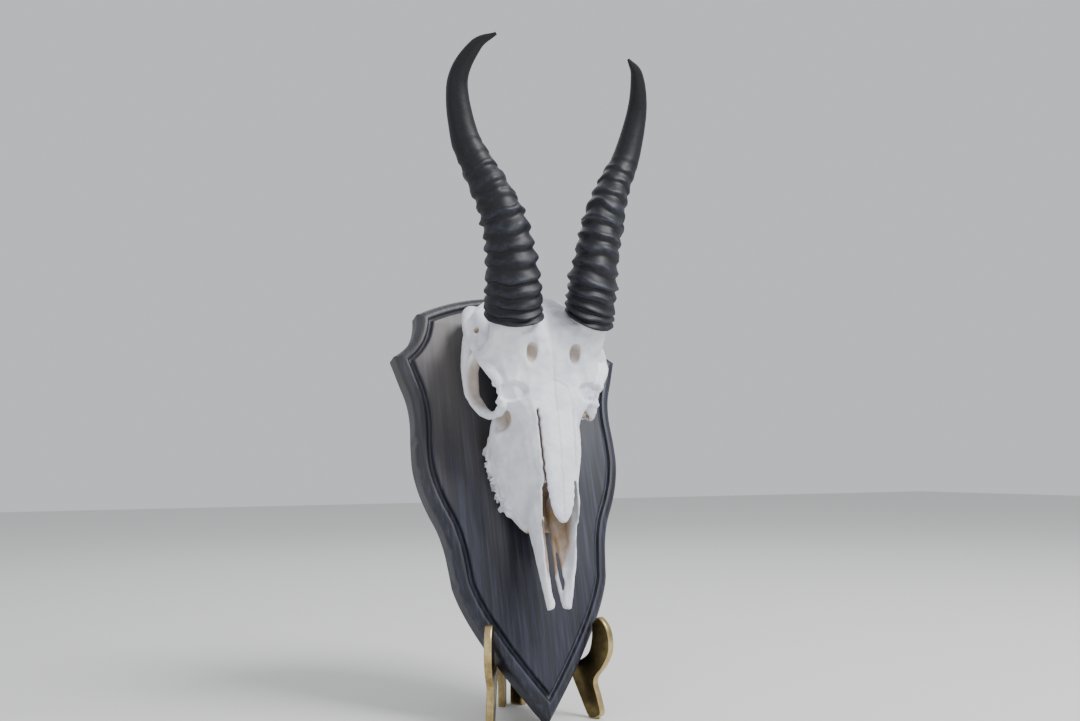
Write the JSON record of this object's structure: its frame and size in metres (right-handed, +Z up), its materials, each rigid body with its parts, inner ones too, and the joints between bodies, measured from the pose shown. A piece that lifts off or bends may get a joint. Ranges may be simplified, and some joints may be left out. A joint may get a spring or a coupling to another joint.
{
  "type": "mounted antelope skull with horns",
  "caption": "Bleached antelope skull with dark ringed horns, fixed to a dark stained shield board that leans back in a folding brass easel.",
  "frame": {"origin": "on the table, under the middle of the object's box", "axes": "+Z up, -Y the way the skull faces, +X to the viewer's right"},
  "size_m": [0.1708, 0.131, 0.4424],
  "materials": {
    "stained_wood": "dark blue-grey stain, low sheen, vertical grain",
    "bone": "bleached dry bone, matt, tan in the hollows",
    "horn": "blue-black horn, satin",
    "brass": "aged brass, satin"
  },
  "bodies": {
    "root": {"shield_board": "stained_wood", "skull": "bone", "horn_left": "horn", "horn_right": "horn", "easel_wing_left": "brass", "easel_wing_right": "brass", "easel_hinge_pin": "brass"}
  },
  "joints": []
}
